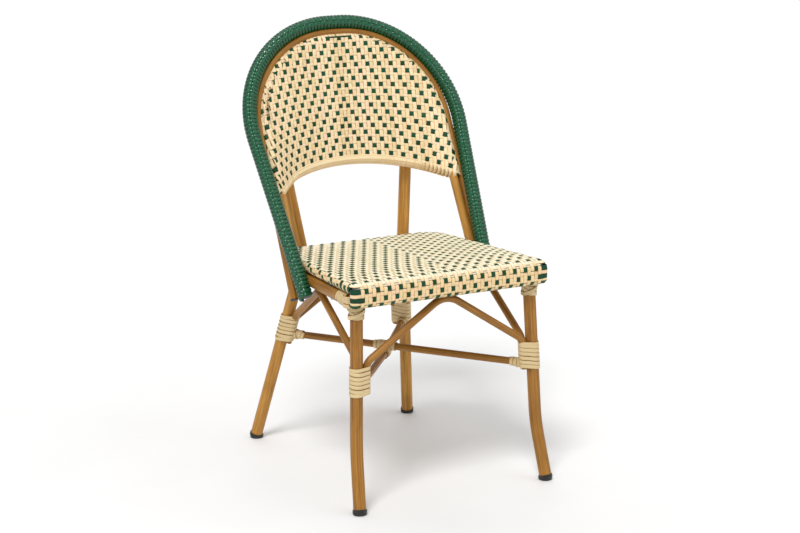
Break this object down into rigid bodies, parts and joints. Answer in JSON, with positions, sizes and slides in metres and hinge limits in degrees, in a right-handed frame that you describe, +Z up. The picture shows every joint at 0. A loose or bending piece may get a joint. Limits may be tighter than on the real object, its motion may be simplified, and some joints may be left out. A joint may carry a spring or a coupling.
{
  "type": "stacking chair",
  "caption": "Armless bistro stacking chair with a tall arched back, woven strip seat and back panels, splayed round-tube legs and arch braces bound with strip lashings",
  "frame": {"origin": "on the floor, under the centre of the chair's bounding box", "axes": "+Z up, the sitter faces -Y, +X is the sitter's left"},
  "size_m": [0.5038, 0.555, 0.8925],
  "materials": {
    "cane_paint": "satin, cane-look grain",
    "green_plait": "glossy plaited strip",
    "seat_strip": "woven strip",
    "back_strip": "woven strip",
    "lashing_strip": "satin strip",
    "black_plastic": "satin",
    "bare_tube": "plain",
    "fastener_steel": "plain"
  },
  "bodies": {
    "root": {"back_bolts": "fastener_steel", "back_crossbar": "bare_tube", "back_hoop": "bare_tube", "back_weave": "back_strip", "bead_ring": "cane_paint", "front_arch": "cane_paint", "front_leg_left": "cane_paint", "front_leg_right": "cane_paint", "front_rail": "cane_paint", "glide_front_left": "black_plastic", "glide_front_right": "black_plastic", "glide_rear_left": "black_plastic", "glide_rear_right": "black_plastic", "hoop_end_plugs": "black_plastic", "hoop_wrap": "green_plait", "inner_hoop": "cane_paint", "lashing_crossing": "lashing_strip", "lashing_front_left": "lashing_strip", "lashing_front_right": "lashing_strip", "lashing_rear_left": "lashing_strip", "lashing_rear_right": "lashing_strip", "lashing_seat_left": "lashing_strip", "lashing_seat_right": "lashing_strip", "rear_arch": "cane_paint", "rear_leg_left": "cane_paint", "rear_leg_plugs": "black_plastic", "rear_leg_right": "cane_paint", "rear_rail": "cane_paint", "ring_end_plugs": "black_plastic", "ring_spacers": "black_plastic", "seat_apron_bar": "bare_tube", "seat_pads": "black_plastic", "seat_panel_frame": "bare_tube", "seat_screws": "fastener_steel", "seat_weave": "seat_strip", "side_arch_left": "cane_paint", "side_arch_right": "cane_paint", "side_rail_left": "cane_paint", "side_rail_right": "cane_paint", "stretcher_lower": "cane_paint", "stretcher_upper": "cane_paint"}
  },
  "joints": []
}
